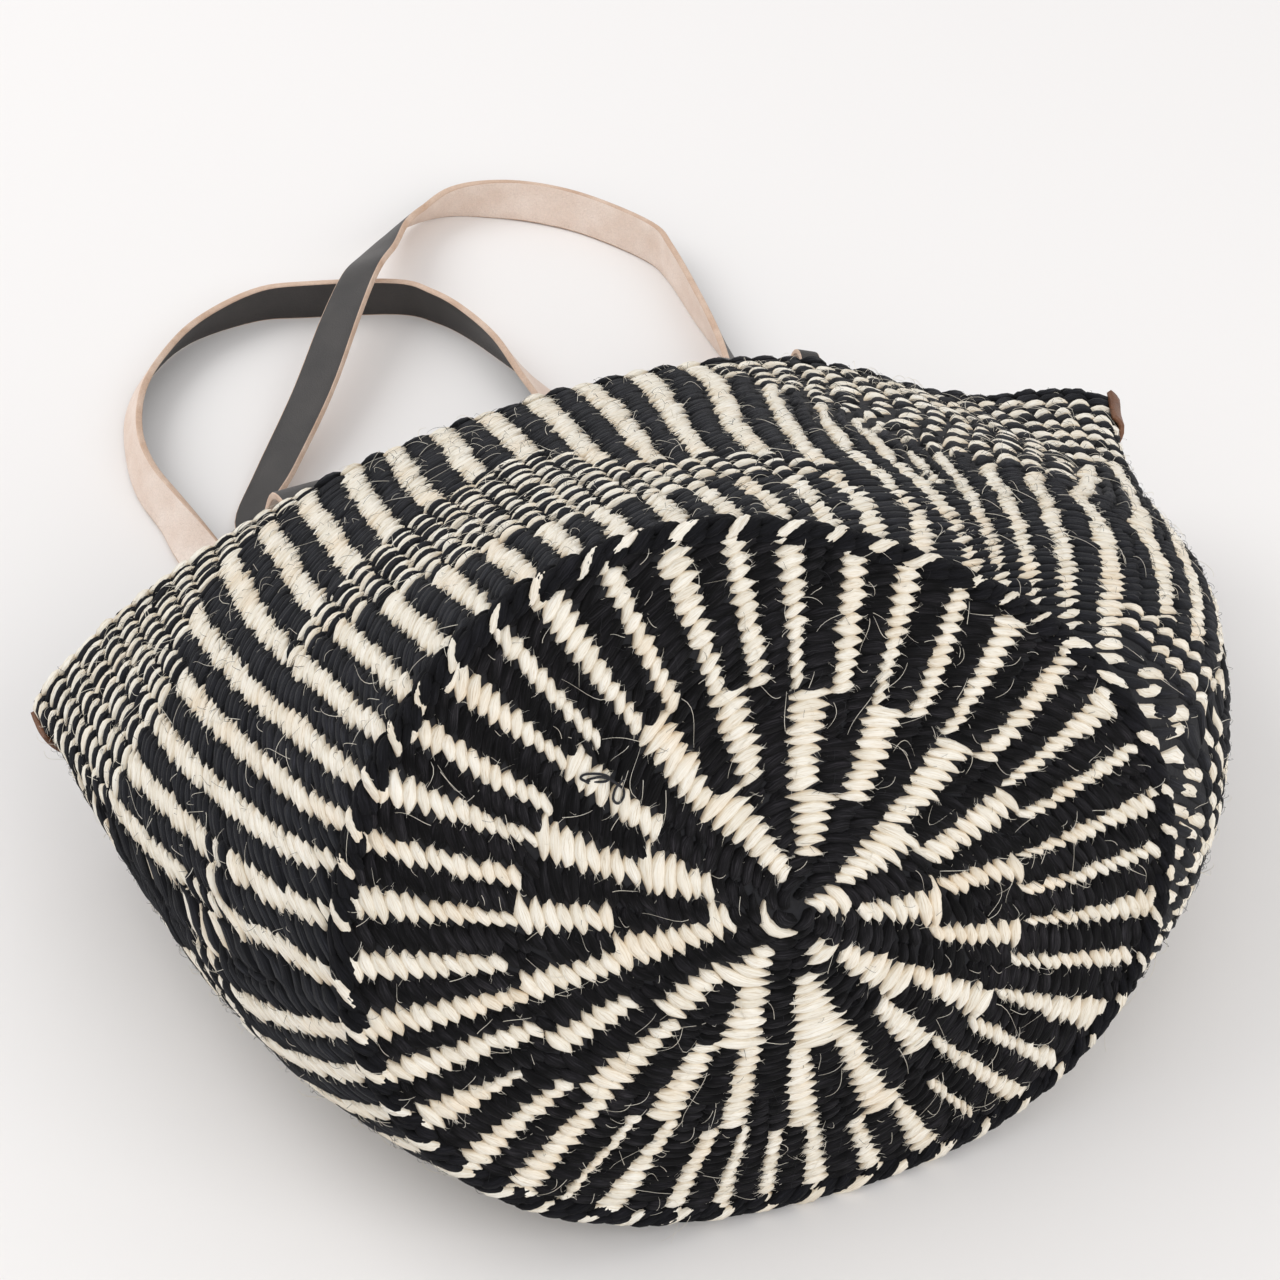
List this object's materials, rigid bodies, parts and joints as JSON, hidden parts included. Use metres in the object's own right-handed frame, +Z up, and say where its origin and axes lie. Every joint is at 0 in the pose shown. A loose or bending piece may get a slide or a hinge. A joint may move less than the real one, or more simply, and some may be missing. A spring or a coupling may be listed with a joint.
{
  "type": "tote bag",
  "caption": "Soft round-based woven sisal tote bag lying on its side, with a wide flattened mouth, a bound rim, leather corner tabs and long flat leather handles.",
  "frame": {"origin": "bottom centre of the whole bag's box, on the floor it lies on", "axes": "+Y is the way the mouth looks and the handles lie, +X runs along the mouth to the right seen from the base, +Z is up from the floor"},
  "size_m": [0.4702, 0.6122, 0.2402],
  "materials": {
    "woven_base": "matt twined sisal, black with cream stripes",
    "base_edge_braid": "matt twisted sisal, mostly black",
    "woven_wall": "matt fuzzy twined wool and sisal, black and cream stripes",
    "rim_binding": "matt twisted sisal, black and cream",
    "handle_leather": "satin black grain side, pale pink-beige flesh side and edges",
    "tab_leather": "satin brown",
    "stitching_thread": "matt waxed thread"
  },
  "bodies": {
    "bag": {"woven_base": "woven_base", "base_edge_braid": "base_edge_braid", "woven_wall": "woven_wall", "rim_binding": "rim_binding", "upper_handle_left_end": "handle_leather", "upper_left_stitches": "stitching_thread", "upper_handle_right_end": "handle_leather", "upper_right_stitches": "stitching_thread", "lower_handle_left_end": "handle_leather", "lower_left_stitches": "stitching_thread", "lower_handle_right_end": "handle_leather", "lower_right_stitches": "stitching_thread", "closure_loop": "handle_leather", "side_tab_left": "tab_leather", "side_tab_right": "tab_leather"},
    "upper_handle": {"upper_handle": "handle_leather"},
    "lower_handle": {"lower_handle": "handle_leather"}
  },
  "joints": [
    {"name": "upper_handle_lift", "type": "hinge", "parent": "bag", "child": "upper_handle", "pos_m": [-0.01678, 0.01379, 0.10195], "axis": [0.9994, 0.021, 0.0258], "range_deg": [0, 100]},
    {"name": "lower_handle_lift", "type": "hinge", "parent": "bag", "child": "lower_handle", "pos_m": [0.00133, -0.03133, 0.02023], "axis": [1, 0.0024, 0.0013], "range_deg": [0, 37]}
  ],
  "couplings": [
    {"joint": "lower_handle_lift", "follows": "upper_handle_lift", "ratio": 0.37}
  ]
}
